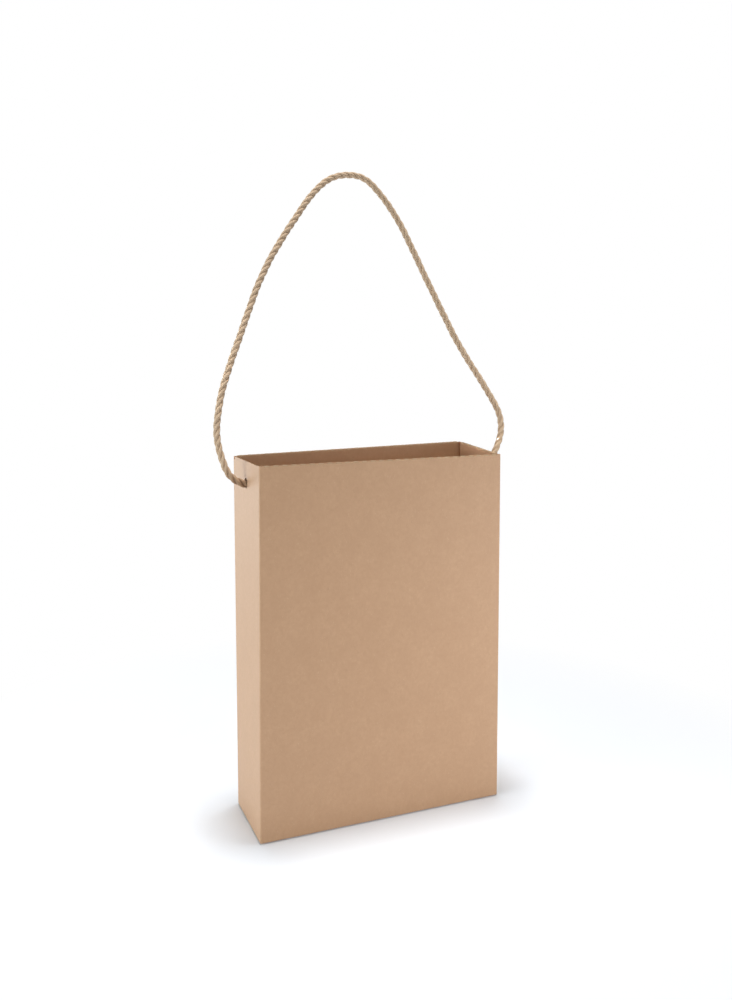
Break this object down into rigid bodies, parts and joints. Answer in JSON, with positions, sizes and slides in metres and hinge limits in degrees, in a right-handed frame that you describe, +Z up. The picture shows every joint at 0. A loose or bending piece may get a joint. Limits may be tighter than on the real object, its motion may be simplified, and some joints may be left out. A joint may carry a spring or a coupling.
{
  "type": "carrier bag",
  "caption": "Standing carrier bag of kraft corrugated board with folded-in hems, a snap-lock base and a swinging twisted rope handle.",
  "frame": {"origin": "centre of the bag's base, on the plane it stands on", "axes": "+Z up to the rim, +X along the width to the right side panel, -Y out of the front panel"},
  "size_m": [0.3193, 0.112, 0.6502],
  "materials": {
    "kraft_outside": "matte",
    "kraft_inside": "matte",
    "jute_rope": "matte"
  },
  "bodies": {
    "carton": {"front_panel": "kraft_outside", "back_panel": "kraft_outside", "left_side_panel": "kraft_outside", "right_side_panel": "kraft_outside", "glue_flap": "kraft_inside", "front_hem": "kraft_inside", "back_hem": "kraft_inside", "left_hem": "kraft_inside", "right_hem": "kraft_inside", "bottom_back_flap": "kraft_inside", "bottom_left_flap": "kraft_inside", "bottom_right_flap": "kraft_inside", "bottom_front_flap": "kraft_inside"},
    "handle": {"rope_handle": "jute_rope", "left_knot": "jute_rope", "right_knot": "jute_rope"}
  },
  "joints": [
    {"name": "handle_swing", "type": "hinge", "parent": "carton", "child": "handle", "pos_m": [0, 0, 0.338], "axis": [1, 0, 0], "range_deg": [-140, 164]}
  ]
}
